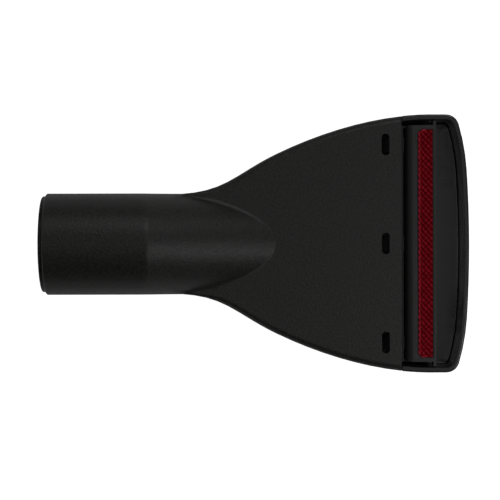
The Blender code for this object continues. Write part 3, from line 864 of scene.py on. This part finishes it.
@dataclass
class Studio:
    """Pale floor, soft lights, surroundings and the camera above the nozzle."""

    floor_half: float = 3.0
    floor_drop: float = 0.05 * MM
    floor_colour: Colour = (0.82, 0.82, 0.82)
    floor_roughness: float = 0.9
    floor_glow: float = 0.95
    floor_bounce: float = 0.10
    ceiling_light: float = 0.325
    ceiling_left: float = 0.12
    ceiling_height: Span = (0.70, 0.95)
    ceiling_across: Span = (-0.06, 0.12)
    horizon_light: float = 0.03
    end_light: float = 0.45
    end_height: Span = (0.45, 0.10)
    end_reach: Span = (0.30, 0.80)
    boxes: tuple[Softbox, ...] = (
        Softbox("upper_softbox", (-0.05, 1.05, 1.0), 1.3, 0.35, 0.35, 0.92),
        Softbox("corner_softbox", (0.37, 0.85, 0.92), 1.3, 0.25, 0.25, 1.55),
        Softbox("right_softbox", (0.60, -0.29, 0.80), 0.50, 0.16, 0.16, 0.32),
        Softbox("overhead_softbox", (-0.115, 0.0, 0.993), 1.3, 0.16, 0.42, 0.26),
    )
    camera_place: Point = (-0.0024, -0.0024, 0.7257)
    camera_lens: float = 130.5
    camera_sensor: float = 36.0
    camera_roll: float = math.radians(-0.12)

    def build(self) -> None:
        """Set up the whole studio."""
        self._make_floor()
        self._make_surroundings()
        for box in self.boxes:
            self._make_light(box)
        self._make_camera()

    def _make_floor(self) -> None:
        """Plain pale floor under the nozzle."""
        work = bmesh.new()
        place = Matrix.Translation((0.0, 0.0, -self.floor_drop))
        bmesh.ops.create_grid(work, x_segments=1, y_segments=1, size=self.floor_half, matrix=place)
        mesh = bpy.data.meshes.new("floor")
        work.to_mesh(mesh)
        work.free()
        material = bpy.data.materials.new("pale_floor")
        material.use_nodes = True
        shader = material.node_tree.nodes["Principled BSDF"]
        shader.inputs["Base Color"].default_value = (*self.floor_colour, 1.0)
        shader.inputs["Roughness"].default_value = self.floor_roughness
        shader.inputs["Emission Color"].default_value = (1.0, 1.0, 1.0, 1.0)
        build = NodeBuilder(material.node_tree)
        seen = build.node("ShaderNodeLightPath").outputs["Is Camera Ray"]
        extra = build.math("MULTIPLY", seen, self.floor_glow - self.floor_bounce)
        build.link(build.math("ADD", extra, self.floor_bounce), shader.inputs["Emission Strength"])
        mesh.materials.append(material)
        floor = bpy.data.objects.new("floor", mesh)
        bpy.context.scene.collection.objects.link(floor)

    def _make_surroundings(self) -> None:
        """White backdrop for the eye, and a dim room for what the plastic mirrors."""
        world = bpy.data.worlds.new("studio")
        bpy.context.scene.world = world
        world.use_nodes = True
        build = NodeBuilder(world.node_tree)
        background = world.node_tree.nodes["Background"]
        place = build.node("ShaderNodeTexCoord")
        split = build.node("ShaderNodeSeparateXYZ")
        build.link(place.outputs["Generated"], split.inputs[0])
        left = self.ceiling_left * self.ceiling_light
        rise = self._fade(build, split.outputs["Z"], self.ceiling_height, (0.0, 1.0))
        across = self._fade(build, split.outputs["X"], self.ceiling_across, (left, self.ceiling_light))
        ceiling = build.math("MULTIPLY", rise, across)
        low = self._fade(build, split.outputs["Z"], self.end_height, (0.0, 1.0))
        reach = build.math("ABSOLUTE", split.outputs["X"])
        end = self._fade(build, reach, self.end_reach, (0.0, self.end_light))
        end_walls = build.math("MULTIPLY", low, end)
        room = build.math("ADD", ceiling, build.math("ADD", end_walls, self.horizon_light))
        seen = build.node("ShaderNodeLightPath").outputs["Is Camera Ray"]
        build.link(build.math("MAXIMUM", room, seen), background.inputs["Strength"])
        background.inputs["Color"].default_value = (1.0, 1.0, 1.0, 1.0)

    @staticmethod
    def _fade(
        build: NodeBuilder,
        value: bpy.types.NodeSocket,
        source: Span,
        target: Span,
    ) -> bpy.types.NodeSocket:
        """Soft step of a value from one level to another.

        Args:
            build: The builder of the tree.
            value: The value that sets the place on the step.
            source: Where the step starts and ends.
            target: The levels there.

        Returns:
            The level.
        """
        step = build.node("ShaderNodeMapRange", interpolation_type="SMOOTHSTEP")
        for name, span in (("From", source), ("To", target)):
            step.inputs[name + " Min"].default_value = span[0]
            step.inputs[name + " Max"].default_value = span[1]
        build.link(value, step.inputs["Value"])
        return step.outputs["Result"]

    def _make_light(self, box: Softbox) -> None:
        """Place one softbox.

        Args:
            box: Its direction from the nozzle, distance, size and power.
        """
        data = bpy.data.lights.new(box.name, "AREA")
        data.shape = "RECTANGLE"
        data.size = box.width
        data.size_y = box.height
        data.energy = box.power
        light = bpy.data.objects.new(box.name, data)
        direction = Vector(box.direction).normalized()
        light.location = direction * box.distance
        light.rotation_euler = direction.to_track_quat("Z", "Y").to_euler()
        bpy.context.scene.collection.objects.link(light)

    def _make_camera(self) -> None:
        """Camera above the nozzle, looking straight down."""
        data = bpy.data.cameras.new("camera")
        data.lens = self.camera_lens
        data.sensor_width = self.camera_sensor
        camera = bpy.data.objects.new("camera", data)
        camera.location = self.camera_place
        camera.rotation_euler = (0.0, 0.0, self.camera_roll)
        bpy.context.scene.collection.objects.link(camera)
        bpy.context.scene.camera = camera
        bpy.context.scene.view_settings.view_transform = "Standard"


@dataclass
class UpholsteryNozzle:
    """The whole nozzle: two mouldings, the strip's carrier and the lint strip."""

    body: NozzleBody = field(default_factory=NozzleBody)
    shell: Moulding = field(default_factory=lambda: Moulding("back_shell", SHELL, SHELL))
    carrier: Moulding = field(default_factory=lambda: Moulding("strip_carrier", CARRIER, CARRIER))
    strip: LintStrip = field(default_factory=LintStrip)

    def build(self, shop: FinishShop) -> list[bpy.types.Object]:
        """Build every piece in order.

        Args:
            shop: Where the materials come from.

        Returns:
            The pieces.
        """
        casing = self._casing()
        pieces = [part.build(shop, casing) for part in (self.body, self.shell, self.carrier)]
        return pieces + self.strip.build(shop)

    @staticmethod
    def _casing() -> BVHTree:
        """Surfaces of the two closed mouldings, as one tree for rays.

        Returns:
            The tree.
        """
        work = bmesh.new()
        for node in ("nozzle_body", "back_shell"):
            work.from_mesh(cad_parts[node].data)
        tree = BVHTree.FromBMesh(work)
        work.free()
        return tree


def main() -> None:
    """Build the nozzle and its studio."""
    logging.basicConfig(level=logging.INFO, format="%(name)s: %(message)s")
    for piece in UpholsteryNozzle().build(FinishShop()):
        log.info("%s: %d faces", piece.name, len(piece.data.polygons))
    Studio().build()


if __name__ == "__main__":
    main()
